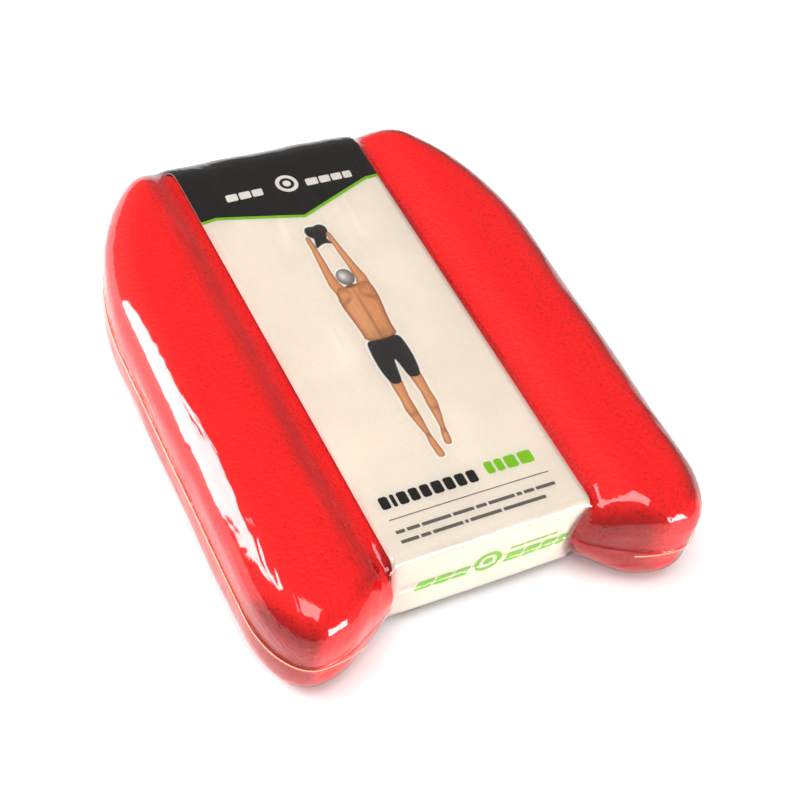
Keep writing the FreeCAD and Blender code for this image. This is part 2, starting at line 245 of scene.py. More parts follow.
def surface_net(values, corner, step):
    """Points and quads of a field's zero surface: one point in each cell that it crosses."""
    inside = values < 0
    size = np.array(values.shape)
    count = np.zeros(size - 1, int)
    for corner_of_cell in np.ndindex(2, 2, 2):
        count += inside[tuple(slice(o, o + n - 1) for o, n in zip(corner_of_cell, size))]
    active = (count > 0) & (count < 8)
    cells = np.argwhere(active)
    number = np.full(active.shape, -1)
    number[active] = np.arange(len(cells))
    total = np.zeros((len(cells), 3))
    crossings = np.zeros(len(cells))
    for axis in range(3):
        for b, c in np.ndindex(2, 2):
            start = np.insert([b, c], axis, 0)
            end = np.insert([b, c], axis, 1)
            first = values[tuple((cells + start).T)]
            second = values[tuple((cells + end).T)]
            crossed = (first < 0) != (second < 0)
            share = np.where(crossed, first / np.where(crossed, first - second, 1), 0)
            point = (cells + start).astype(float)
            point[:, axis] += share
            total += point * crossed[:, None]
            crossings += crossed
    points = corner + step * total / crossings[:, None]
    quads = []
    for axis in range(3):
        low = np.take(inside, range(size[axis] - 1), axis)
        high = np.take(inside, range(1, size[axis]), axis)
        edges = np.argwhere(low != high)
        leaving = low[tuple(edges.T)]
        b, c = np.eye(3, dtype=int)[(axis + 1) % 3], np.eye(3, dtype=int)[(axis + 2) % 3]
        quad = np.column_stack([number[tuple((edges - move).T)] for move in (0 * b, b, b + c, c)])
        quad[~leaving] = quad[~leaving][:, ::-1]
        quads.append(quad)
    return points, np.vstack(quads)


def new_mesh_object(name, points, faces, material, smooth=True):
    mesh = bpy.data.meshes.new(name)
    mesh.from_pydata([tuple(p) for p in points], [], [tuple(int(i) for i in f) for f in faces])
    if smooth:
        mesh.shade_smooth()
    mesh.materials.append(material)
    mesh.update()
    item = bpy.data.objects.new(name, mesh)
    bpy.context.scene.collection.objects.link(item)
    return item


def relax(points, faces, rounds, amount=0.5):
    """Even out a quad mesh by moving each point towards the mean of its neighbours."""
    starts = faces.ravel()
    ends = np.roll(faces, -1, axis=1).ravel()
    links = np.bincount(starts, minlength=len(points)) + np.bincount(ends, minlength=len(points))
    for _ in range(rounds):
        total = np.zeros_like(points)
        for axis in range(3):
            total[:, axis] += np.bincount(starts, points[ends, axis], len(points))
            total[:, axis] += np.bincount(ends, points[starts, axis], len(points))
        points = points + amount * (total / links[:, None] - points)
    return points


def point_normals(points, faces):
    diagonal = np.cross(points[faces[:, 2]] - points[faces[:, 0]], points[faces[:, 3]] - points[faces[:, 1]])
    normals = np.zeros_like(points)
    for corner in range(4):
        np.add.at(normals, faces[:, corner], diagonal)
    return normals / np.linalg.norm(normals, axis=1, keepdims=True)


def grid_axes(step):
    """Grid lines along X, Y and Z round the whole board, Z from the parting plane."""
    room = 3 * step
    reach = (HALF_WIDTH + room, (FAR_EDGE - TIP_EDGE) / 2 + room, CREST + room)
    middle = (0, (FAR_EDGE + TIP_EDGE) / 2, 0)
    return [m + step * (np.arange(2 * math.ceil(r / step) + 1) - math.ceil(r / step)) + step / 2
            for m, r in zip(middle, reach)]


def half_of(item, name, upper, cap):
    """A copy of one side of the parting plane, with its cut closed if cap is set."""
    half = item.copy()
    half.data = item.data.copy()
    half.name = name
    half.data.name = name
    bpy.context.scene.collection.objects.link(half)
    work = bmesh.new()
    work.from_mesh(half.data)
    everything = work.verts[:] + work.edges[:] + work.faces[:]
    bmesh.ops.bisect_plane(work, geom=everything, plane_co=(0, 0, PARTING), plane_no=(0, 0, 1),
                           clear_inner=upper, clear_outer=not upper)
    if cap:
        rim = [edge for edge in work.edges if edge.is_boundary]
        for edge in rim:
            edge.smooth = False
        bmesh.ops.holes_fill(work, edges=rim, sides=len(rim))
        for face in work.faces:
            if len(face.verts) > 4:
                face.smooth = False
    work.to_mesh(half.data)
    work.free()
    return half


# ------------------------------------------------------------------ materials

class Nodes:
    """A short way to write a material's node tree."""

    def __init__(self, name):
        self.material = bpy.data.materials.new(name)
        self.material.use_nodes = True
        self.tree = self.material.node_tree
        self.tree.nodes.clear()
        self.place = self.add("ShaderNodeTexCoord").outputs["Object"]

    def add(self, kind, settings=None, **inputs):
        node = self.tree.nodes.new(kind)
        for key, value in (settings or {}).items():
            setattr(node, key, value)
        for key, value in inputs.items():
            self.put(node.inputs[key.replace("_", " ")], value)
        return node

    def put(self, socket, value):
        if isinstance(value, bpy.types.NodeSocket):
            self.tree.links.new(value, socket)
        else:
            socket.default_value = value

    def noise(self, scale, detail=2.0, roughness=0.5, stretch=(1, 1, 1), turn=(0, 0, 0), distortion=0.0):
        mapping = self.add("ShaderNodeMapping", Vector=self.place, Scale=stretch, Rotation=turn)
        node = self.add("ShaderNodeTexNoise", Vector=mapping.outputs[0], Scale=scale, Detail=detail,
                        Roughness=roughness, Distortion=distortion)
        return node.outputs["Fac"]

    def cells(self, scale):
        node = self.add("ShaderNodeTexVoronoi", {"feature": "SMOOTH_F1"}, Vector=self.place, Scale=scale,
                        Smoothness=0.6)
        return node.outputs["Distance"]

    def math(self, operation, a, b=0.0, clamp=False):
        node = self.add("ShaderNodeMath", {"operation": operation, "use_clamp": clamp})
        self.put(node.inputs[0], a)
        self.put(node.inputs[1], b)
        return node.outputs[0]

    def fit(self, value, low, high, to_low=0.0, to_high=1.0):
        node = self.add("ShaderNodeMapRange", {"interpolation_type": "SMOOTHSTEP"}, Value=value, From_Min=low,
                        From_Max=high, To_Min=to_low, To_Max=to_high)
        return node.outputs[0]

    def mix(self, share, first, second):
        node = self.add("ShaderNodeMix", {"data_type": "RGBA"})
        self.put(node.inputs[0], share)
        self.put(node.inputs[6], first)
        self.put(node.inputs[7], second)
        return node.outputs[2]

    def bump(self, height, distance, strength=1.0, below=None):
        node = self.add("ShaderNodeBump", Height=height, Distance=distance, Strength=strength)
        if below is not None:
            self.put(node.inputs["Normal"], below)
        return node.outputs[0]

    def near(self, place, reach):
        """1 at a place on the board, fading to 0 at that reach."""
        gap = self.add("ShaderNodeVectorMath", {"operation": "DISTANCE"})
        self.put(gap.inputs[0], self.place)
        self.put(gap.inputs[1], place)
        return self.fit(gap.outputs["Value"], 0.0, reach, 1.0, 0.0)

    def finish(self, shader):
        self.add("ShaderNodeOutputMaterial", Surface=shader)
        return self.material


def paint(colour):
    return (*linear(colour), 1.0)


def foam_material():
    """Moulded closed-cell foam: matt red skin with a fine pebble grain."""
    n = Nodes("foam_red")
    pebbles = n.cells(540)
    grain = n.noise(900, detail=3, roughness=0.6)
    clouds = n.noise(24, detail=2)
    relief = n.math("ADD", n.math("MULTIPLY", pebbles, 0.8), n.math("MULTIPLY", grain, 0.5))
    mottle = n.math("ADD", n.math("MULTIPLY", pebbles, 0.9), n.math("MULTIPLY", grain, 0.5))
    tint = n.fit(n.math("ADD", mottle, n.math("MULTIPLY", clouds, 0.2)), 0.40, 0.80)
    colour = n.mix(tint, paint(FOAM_RED_DEEP), paint(FOAM_RED))
    shader = n.add("ShaderNodeBsdfPrincipled", Base_Color=colour, Roughness=n.fit(grain, 0.3, 0.7, 0.5, 0.68),
                   Normal=n.bump(relief, 0.6 * MM, 0.9))
    shader.inputs["Specular IOR Level"].default_value = 0.2
    return n.finish(shader.outputs[0])


FIBRE_SCALE = 1500
FIBRE_STRETCH = (1, 0.35, 1)


def card_material(name, colour, sheen=0.45, shine=0.25):
    """Coated card with printed ink: fine fibre relief under a soft gloss."""
    n = Nodes(name)
    fibres = n.noise(FIBRE_SCALE, detail=3, stretch=FIBRE_STRETCH)
    wash = n.noise(30, detail=2)
    darker = tuple(c * 0.97 for c in colour)
    tone = n.math("ADD", n.math("MULTIPLY", fibres, 0.5), n.math("MULTIPLY", wash, 0.5))
    shade = n.mix(n.fit(tone, 0.35, 0.65), paint(darker), paint(colour))
    roughness = n.fit(fibres, 0.3, 0.7, sheen, sheen + 0.12)
    shader = n.add("ShaderNodeBsdfPrincipled", Base_Color=shade, Roughness=roughness,
                   Normal=n.bump(fibres, 0.005 * MM, 0.3))
    shader.inputs["Specular IOR Level"].default_value = shine
    return n.finish(shader.outputs[0])


def figure_material():
    """Ink of the printed picture, whose colours are painted on the mesh."""
    n = Nodes("print_picture")
    ink = n.add("ShaderNodeVertexColor", {"layer_name": "ink"}).outputs[0]
    fibres = n.noise(FIBRE_SCALE, detail=3, stretch=FIBRE_STRETCH)
    shader = n.add("ShaderNodeBsdfPrincipled", Base_Color=ink, Roughness=n.fit(fibres, 0.3, 0.7, 0.45, 0.57),
                   Normal=n.bump(fibres, 0.03 * MM, 0.5))
    return n.finish(shader.outputs[0])


def film_material():
    """Clear shrink film: seen only by its gloss, which wrinkles break up."""
    n = Nodes("film_clear")
    patches = n.fit(n.noise(16, detail=1), 0.46, 0.66)
    along = n.noise(70, detail=3, stretch=(1, 0.16, 1), turn=(0, 0, math.radians(14)), distortion=0.6)
    creases = n.math("ABSOLUTE", n.math("SUBTRACT", along, 0.5))
    ripple = n.noise(130, detail=2, stretch=(1, 0.5, 1))
    for place, reach in CRUMPLES:
        patches = n.math("MAXIMUM", patches, n.near(place, reach))
    low = n.bump(n.noise(32, detail=1), 1.2 * MM, 0.5)
    middle = n.bump(n.math("MULTIPLY", creases, patches), 2.2 * MM, 0.8, low)
    normal = n.bump(n.math("MULTIPLY", ripple, patches), 0.25 * MM, 0.6, middle)
    gloss = n.add("ShaderNodeBsdfGlossy", Color=(1, 1, 1, 1), Roughness=0.07, Normal=normal)
    clear = n.add("ShaderNodeBsdfTransparent", Color=(0.985, 0.985, 0.98, 1))
    fresnel = n.add("ShaderNodeFresnel", IOR=1.52, Normal=normal)
    mixed = n.add("ShaderNodeMixShader", Fac=fresnel.outputs[0])
    n.put(mixed.inputs[1], clear.outputs[0])
    n.put(mixed.inputs[2], gloss.outputs[0])
    return n.finish(mixed.outputs[0])


def weld_material():
    """Melted film along the heat seal: milky and a little yellow."""
    n = Nodes("film_weld")
    beads = n.noise(700, detail=2)
    shader = n.add("ShaderNodeBsdfPrincipled", Base_Color=paint((0.93, 0.80, 0.62)), Roughness=0.22,
                   Normal=n.bump(beads, 0.15 * MM, 0.7))
    shader.inputs["Alpha"].default_value = 0.45
    return n.finish(shader.outputs[0])


def tape_material():
    """Clear adhesive tape in the sleeve's lap."""
    n = Nodes("tape_clear")
    streaks = n.noise(260, detail=2, stretch=(1, 0.1, 1))
    shader = n.add("ShaderNodeBsdfPrincipled", Base_Color=paint((0.88, 0.84, 0.74)),
                   Roughness=n.fit(streaks, 0.3, 0.7, 0.12, 0.3), Normal=n.bump(streaks, 0.05 * MM, 0.6))
    return n.finish(shader.outputs[0])


def floor_material():
    n = Nodes("floor_pale")
    speck = n.noise(60, detail=2)
    colour = n.mix(speck, (0.90, 0.90, 0.90, 1), (0.93, 0.93, 0.93, 1))
    shader = n.add("ShaderNodeBsdfPrincipled", Base_Color=colour, Roughness=0.75)
    return n.finish(shader.outputs[0])


# Places and reaches where the film is gathered: the near tips, the far-left corner and both ends
# of the card's near fold.
CRUMPLES = (
    ((-HALF_WIDTH + 12 * MM, TIP_EDGE + 12 * MM, PARTING + 8 * MM), 38 * MM),
    ((HALF_WIDTH - 12 * MM, TIP_EDGE + 12 * MM, PARTING + 8 * MM), 30 * MM),
    ((-HALF_WIDTH + 22 * MM, FAR_EDGE - 18 * MM, PARTING + 12 * MM), 34 * MM),
    ((CARD_SHIFT - CARD_WIDTH / 2, CARD_NEAR, PARTING + PANEL), 15 * MM),
    ((CARD_SHIFT + CARD_WIDTH / 2, CARD_NEAR, PARTING + PANEL), 15 * MM),
)

FOAM = foam_material()
CARD = card_material("card_cream", CARD_CREAM)
FILM = film_material()
INKS = {
    "black": card_material("print_black", PRINT_BLACK, 0.6, 0.1),
    "green": card_material("print_green", PRINT_GREEN),
    "white": card_material("print_white", PRINT_WHITE),
    "grey": card_material("print_grey", PRINT_GREY),
}


# ------------------------------------------------------------------ foam board

def make_foam():
    x, y, z = grid_axes(FOAM_STEP)
    points, quads = surface_net(foam_field(x, y, z), np.array([x[0], y[0], z[0] + PARTING]), FOAM_STEP)
    points = relax(points, quads, FOAM_ROUNDS)
    whole = new_mesh_object("foam_whole", points, quads, FOAM)
    for name, node, upper in (("foam_upper_skin", "foam_upper", True),
                              ("foam_lower_skin", "foam_lower", False)):
        half = half_of(whole, name, upper, cap=True)
        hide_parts(node)
        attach(half, "root")
    bpy.data.objects.remove(whole)


make_foam()

# ------------------------------------------------------------------ card sleeve

class Strip:
    """The sleeve's outer face as a strip: s runs along it, u across it.

    It starts at the raw edge at the foot of the near wall, climbs that wall, runs along the top,
    down the far wall, back along the bottom and ends in a flap tucked up behind the near wall.
    """

    def __init__(self):
        top, low = PARTING + PANEL, PARTING - PANEL
        inner = CARD_NEAR + FLAP_GAP
        corners = [
            (CARD_NEAR, low + RAW_EDGE_RISE, 0), (CARD_NEAR, top, NEAR_FOLD), (CARD_FAR, top, FAR_FOLD),
            (CARD_FAR, low, BOTTOM_FOLD), (inner, low, LAP_FOLD), (inner, low + FLAP_LENGTH, 0)]
        path = [np.array(corners[0][:2])]
        for (ay, az, _), (by, bz, radius), (cy, cz, _) in zip(corners, corners[1:], corners[2:]):
            here = np.array([by, bz])
            come = (here - (ay, az)) / np.linalg.norm(here - (ay, az))
            leave = (np.array([cy, cz]) - here) / np.linalg.norm(np.array([cy, cz]) - here)
            centre = here + radius * (leave - come)
            for turn in np.linspace(0, math.pi / 2, FOLD_POINTS):
                path.append(centre - radius * leave * math.cos(turn) + radius * come * math.sin(turn))
        path.append(np.array(corners[-1][:2]))
        self.path = np.array(path)
        steps = np.linalg.norm(np.diff(self.path, axis=0), axis=1)
        self.s = np.concatenate([[0], np.cumsum(steps)])
        self.length = self.s[-1]
        self.top_start = self.s[FOLD_POINTS]
        self.far_start = self.s[FOLD_POINTS + 1]
        self.bottom_start = self.s[3 * FOLD_POINTS]

    def on_top(self, y):
        """s of a place on the top panel."""
        return self.top_start + (y - self.path[FOLD_POINTS, 0])

    def on_near_wall(self, z):
        """s of a height on the near wall."""
        return z - self.path[0, 1]

    def at(self, u, s, lift=0.0):
        """Points on the strip, that far above its outer face.

        The face is a little crowned, and the near wall is pinched in to fit the notch.
        """
        u, s = np.asarray(u, float), np.asarray(s, float)
        y = np.interp(s, self.s, self.path[:, 0])
        z = np.interp(s, self.s, self.path[:, 1])
        ahead = 0.5 * MM
        dy = np.interp(s + ahead, self.s, self.path[:, 0]) - np.interp(s - ahead, self.s, self.path[:, 0])
        dz = np.interp(s + ahead, self.s, self.path[:, 1]) - np.interp(s - ahead, self.s, self.path[:, 1])
        size = np.maximum(np.hypot(dy, dz), 1e-9)
        ny, nz = -dz / size, dy / size
        crown = CARD_CROWN * (1 - (2 * u / CARD_WIDTH) ** 2)
        y, z = y + (lift + crown) * ny, z + (lift + crown) * nz
        wall = self.on_near_wall(PARTING + PANEL)
        deep = smooth_step(0, PINCH_DEPTH * wall, wall - s)
        deep = deep * (1 - FOOT_EASE * smooth_step(0, FOOT_RUN, FOOT_RUN - s))
        side = 2 * u / CARD_WIDTH
        pinch = PINCH_LEFT * smooth_step(-PINCH_START, -1, side)
        pinch = pinch - PINCH_RIGHT * smooth_step(PINCH_START, 1, side)
        u = u + pinch * deep
        middle = (CARD_NEAR + CARD_FAR) / 2
        turned_x = u * math.cos(CARD_SKEW) - (y - middle) * math.sin(CARD_SKEW)
        turned_y = u * math.sin(CARD_SKEW) + (y - middle) * math.cos(CARD_SKEW)
        return np.stack([turned_x + CARD_SHIFT, turned_y + middle, z], axis=-1)


STRIP = Strip()


def card_field(x, y, z):
    """Signed distance to the sleeve.  x, y and z are the axes of a grid, z from the parting plane."""
    side_view = np.vstack([STRIP.path[:3 * FOLD_POINTS + 1], (CARD_NEAR, PARTING - PANEL)])
    profile = -distance_inside(*np.meshgrid(y, z + PARTING, indexing="ij"), side_view)
    slope = np.gradient(profile, y, axis=0)
    px, py = np.meshgrid(x - CARD_SHIFT, y - (CARD_NEAR + CARD_FAR) / 2, indexing="ij")
    across = (px * math.cos(CARD_SKEW) + py * math.sin(CARD_SKEW))[:, :, None]
    around = profile[None] - (px * math.sin(CARD_SKEW))[:, :, None] * slope[None]
    around = around - CARD_CROWN * np.clip(1 - (2 * across / CARD_WIDTH) ** 2, 0, None)
    beyond = np.abs(across) - CARD_WIDTH / 2
    outside = np.hypot(np.clip(around, 0, None), np.clip(beyond, 0, None))
    return outside + np.minimum(np.maximum(around, beyond), 0)


def slab_faces(columns, rows):
    """Faces of a thin slab: an outer and an inner grid of points, joined round the rim."""
    count = columns * rows
    number = np.arange(count).reshape(columns, rows)
    quads = np.stack([number[:-1, :-1], number[1:, :-1], number[1:, 1:], number[:-1, 1:]], -1).reshape(-1, 4)
    rim = [*number[:, 0], *number[-1, 1:], *number[-2::-1, -1], *number[0, -2:0:-1]]
    joins = [(b, a, a + count, b + count) for a, b in zip(rim, rim[1:] + rim[:1])]
    return [*quads, *(quads[:, ::-1] + count), *joins]


def make_sleeve():
    across = np.linspace(-CARD_WIDTH / 2, CARD_WIDTH / 2, 36)
    along = np.unique(np.round(np.concatenate([np.arange(0, STRIP.length, 2.5 * MM), STRIP.s]), 7))
    u, s = np.meshgrid(across, along, indexing="ij")
    outer = STRIP.at(u, s).reshape(-1, 3)
    inner = STRIP.at(u, s, -CARD_SHEET).reshape(-1, 3)
    sleeve = new_mesh_object("card_sleeve", np.vstack([outer, inner]), slab_faces(*u.shape), CARD)
    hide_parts("sleeve_card")
    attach(sleeve, "root")


make_sleeve()


def make_tape():
    """The strip that sticks the near wall to the flap behind it."""
    low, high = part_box("sleeve_tape")
    flap_top = PARTING - PANEL + FLAP_LENGTH
    across = np.linspace(low.x - CARD_SHIFT, high.x - CARD_SHIFT, 30)
    along = STRIP.length - flap_top + np.linspace(low.z, high.z, 6)
    u, s = np.meshgrid(across, along, indexing="ij")
    sheets = np.vstack([STRIP.at(u, s, lift).reshape(-1, 3) for lift in (0.3 * MM, 0.1 * MM)])
    tape = new_mesh_object("tape_strip", sheets, slab_faces(*u.shape), tape_material())
    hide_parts("sleeve_tape")
    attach(tape, "root")


make_tape()

# ------------------------------------------------------------------ print

PRINT_LIFT = 0.1 * MM


def with_more_points(outline, spacing):
    """The same closed outline with no side longer than the spacing."""
    points = []
    for start, end in zip(outline, np.roll(outline, -1, axis=0)):
        count = max(1, math.ceil(np.linalg.norm(end - start) / spacing))
        points += [start + (end - start) * i / count for i in range(count)]
    return np.array(points)


def print_shapes(name, outlines, ink, lift=PRINT_LIFT):
    """Flat printed shapes.  Each outline is a list of (u, s) corners on the strip."""
    points, faces = [], []
    grid = 2 * MM
    for outline in outlines:
        outline = with_more_points(np.array(outline), grid)
        low, high = outline.min(0), outline.max(0)
        inner = [(u, s) for u in np.arange(low[0] + grid / 2, high[0], grid)
                 for s in np.arange(low[1] + grid / 2, high[1], grid)]
        if inner:
            inner = np.array(inner)
            inner = inner[distance_inside(inner[:, 0], inner[:, 1], outline) > 0.5 * MM]
        corners = [Vector(p) for p in (*outline, *inner)]
        found, _, triangles, *_ = delaunay_2d_cdt(corners, [], [list(range(len(outline)))], 1, 1e-7)
        flat = np.array([tuple(p) for p in found])
        faces += [[i + len(points) for i in t] for t in triangles]
        points += list(STRIP.at(flat[:, 0], flat[:, 1], lift))
    item = new_mesh_object(name, points, faces, INKS[ink])
    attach(item, "root")
    return item


def on_top(corners):
    """Corners given in millimetres as (across, along) on the top panel."""
    return [(x * MM, STRIP.on_top(y * MM)) for x, y in corners]


def block(left, right, low, high, lean=0.0):
    """A leaning bar with slightly cut corners."""
    cut = min(0.12 * (high - low), 0.25 * (right - left))
    corners = [(left + cut, low), (right - cut, low), (right, low + cut), (right, high - cut),
               (right - cut, high), (left + cut, high), (left, high - cut), (left, low + cut)]
    return [(x + lean * (y - low), y) for x, y in corners]


def block_row(left, low, high, widths, gap, lean=0.0):
    """A row of bars of these widths, as placeholder for a line of lettering."""
    rows = []
    for width in widths:
        rows.append(block(left, left + width, low, high, lean))
        left += width + gap
    return rows


def ring(cx, cy, outer, inner, count=40):
    """Two half rings that make one ring."""
    halves = []
    for start in (0, math.pi):
        turn = np.linspace(start, start + math.pi, count)
        rim = [(cx + outer * math.cos(t), cy + outer * math.sin(t)) for t in turn]
        hole = [(cx + inner * math.cos(t), cy + inner * math.sin(t)) for t in turn[::-1]]
        halves.append(rim + hole)
    return halves


def disc(cx, cy, radius, count=40):
    return [(cx + radius * math.cos(t), cy + radius * math.sin(t))
            for t in np.linspace(0, 2 * math.pi, count, endpoint=False)]


def make_print():
    half = CARD_WIDTH / 2 / MM
    chevron = [(-half, 98.2), (-44, 99.2), (1.0, 88.2), (45, 105.8), (half, 106.2)]
    band = 1.9
    wrap_end = STRIP.bottom_start + 30 * MM
    panel = on_top(chevron) + [(CARD_WIDTH / 2, wrap_end), (-CARD_WIDTH / 2, wrap_end)]
    print_shapes("print_black_panel", [panel], "black")
    lower = [(x, y - band) for x, y in chevron]
    print_shapes("print_green_band", [on_top(lower + chevron[::-1])], "green")

    marks = block_row(-34, 107.5, 112.5, (6.4, 6.4, 6.0), 0.9, 0.12)
    marks += block_row(11.5, 107.5, 112.5, (7.0, 6.2, 6.0, 5.0), 0.9, 0.12)
    marks += ring(1.6, 112, 6.2, 4.0) + [disc(1.6, 112, 2.2)]
    print_shapes("print_white_marks", [on_top(m) for m in marks], "white", 2 * PRINT_LIFT)

    title = block_row(-43.5, -94.5, -87.6, (4.6, 2.0, 4.8, 4.6, 4.6, 5.2, 4.8, 4.8, 4.8), 1.3)
    print_shapes("print_title_bars", [on_top(b) for b in title], "black")
    word = block_row(13.0, -92.8, -85.8, (4.2, 4.0, 6.2, 7.4), 1.3)
    print_shapes("print_green_bars", [on_top(b) for b in word], "green")

    lines = [block(-43.5, 41.5, -100.6, -100.1)]
    lines += block_row(-43.5, -108.2, -106.4, (4.5, 6.5, 15, 11, 5.5, 14, 2.8, 5.5, 10.5), 1.15)
    lines += block_row(-43.5, -113.6, -111.8, (9, 5, 15.5, 1.6, 16.5, 23), 1.15)
    print_shapes("print_text_bars", [on_top(b) for b in lines], "grey")

    def on_wall(corners):
        return [(x * MM, STRIP.on_near_wall((z - 6.5) * MM + PARTING - PANEL)) for x, z in corners]

    wall = block_row(-37, 23.0, 30.0, (9.0, 8.4, 8.0), 1.2, 0.25)
    wall += block_row(10.5, 23.0, 30.0, (9.2, 8.2, 8.0, 6.6), 1.2, 0.25)
    wall += block_row(12.5, 33.2, 34.8, (7.5, 12.5, 4.0), 1.0, 0.25)
    wall += ring(1.5, 29.0, 7.4, 4.7) + [disc(1.5, 29.0, 2.6)]
    print_shapes("print_wall_marks", [on_wall(b) for b in wall], "green")


make_print()


# ------------------------------------------------------------------ printed swimmer

SKIN_LIGHT = (0.90, 0.69, 0.50)
SKIN = (0.80, 0.53, 0.33)
SKIN_DARK = (0.50, 0.26, 0.13)
CLOTH_BLACK = (0.105, 0.095, 0.085)
CAP_LIGHT = (0.90, 0.89, 0.87)
CAP_DARK = (0.28, 0.27, 0.26)
HALO = (0.975, 0.96, 0.94)

# Millimetres on the top panel: x across, y along, and a limb's radius there.
LIMBS = {
    "arm_left": [(-4.8, 71.5, 1.2), (-4.6, 66, 1.5), (-4.9, 57, 1.9), (-5.4, 46, 2.3), (-5.2, 38, 3.0),
                 (-3.5, 31, 3.6)],
    "arm_right": [(7.0, 72, 1.2), (7.5, 66, 1.5), (8.3, 57, 1.9), (9.3, 47, 2.3), (10.2, 39, 3.0),
                  (9.0, 31, 4.0)],
    "leg_left": [(-3.4, -24, 3.3), (-4.0, -32, 3.0), (-4.3, -39, 2.5), (-4.6, -46, 2.9), (-4.1, -54, 2.2),
                 (-3.7, -62, 1.3), (-3.7, -68, 1.9), (-3.2, -74.5, 2.0)],
    "leg_right": [(7.2, -24, 3.3), (7.4, -31, 3.0), (7.4, -38, 2.5), (7.2, -45, 2.9), (6.3, -53, 2.1),
                  (5.2, -60, 1.3), (4.2, -65, 1.9), (3.6, -69.0, 1.9)],
}
TORSO = [(-6.6, 33), (-7.9, 27), (-7.6, 20), (-6.8, 12), (-6.2, 6), (-6.4, -2), (11.2, -2), (10.9, 5),
         (11.5, 12), (12.8, 20), (13.6, 28), (13.2, 34), (10, 37), (6.0, 35.5), (2.4, 36.5), (-1.5, 35),
         (-4.5, 36)]
SHORTS = [(-6.6, -0.8), (-2, -1.6), (4, -1.9), (11.2, -0.6), (12.3, -8), (12.2, -18), (10.4, -28),
          (7, -28.8), (3.8, -27.6), (3.2, -21), (2.1, -13.6), (0.6, -22), (-0.6, -29.2), (-3.5, -30.2),
          (-6.6, -29), (-8.1, -20), (-7.8, -9)]
HELD_BOARD = [(-4.6, 75.4), (-3.8, 78.6), (-1.2, 79.6), (1.4, 78.8), (4.0, 80.0), (6.8, 79.0), (8.2, 76.2),
              (7.4, 72.6), (5.0, 70.2), (5.4, 67.4), (6.8, 64.4), (3.2, 66.2), (0.2, 65.6), (-3.2, 63.4),
              (-2.6, 67.0), (-1.4, 70.8), (-3.6, 72.2)]


def rounded(corners, rounds=2):
    """An outline with its corners cut into curves."""
    outline = np.array(corners, float)
    for _ in range(rounds):
        after = np.roll(outline, -1, axis=0)
        outline = np.stack([0.75 * outline + 0.25 * after, 0.25 * outline + 0.75 * after], 1).reshape(-1, 2)
    return outline


def limb_depth(x, y, line):
    """How deep a point is in a limb of changing radius, and its side from -1 to 1."""
    depth = np.full(x.shape, -np.inf)
    side = np.zeros(x.shape)
    for (ax, ay, ar), (bx, by, br) in zip(line, line[1:]):
        ex, ey = bx - ax, by - ay
        share = np.clip(((x - ax) * ex + (y - ay) * ey) / (ex * ex + ey * ey), 0, 1)
        dx, dy = x - ax - share * ex, y - ay - share * ey
        radius = ar + share * (br - ar)
        here = radius - np.hypot(dx, dy)
        better = here > depth
        side = np.where(better, dx / radius, side)
        depth = np.where(better, here, depth)
    return depth, side


def soft_spot(x, y, cx, cy, rx, ry, turn=0.0):
    """1 at a place, fading to 0 round it."""
    c, s = math.cos(turn), math.sin(turn)
    a, b = ((x - cx) * c + (y - cy) * s) / rx, ((y - cy) * c - (x - cx) * s) / ry
    return np.exp(-(a * a + b * b))


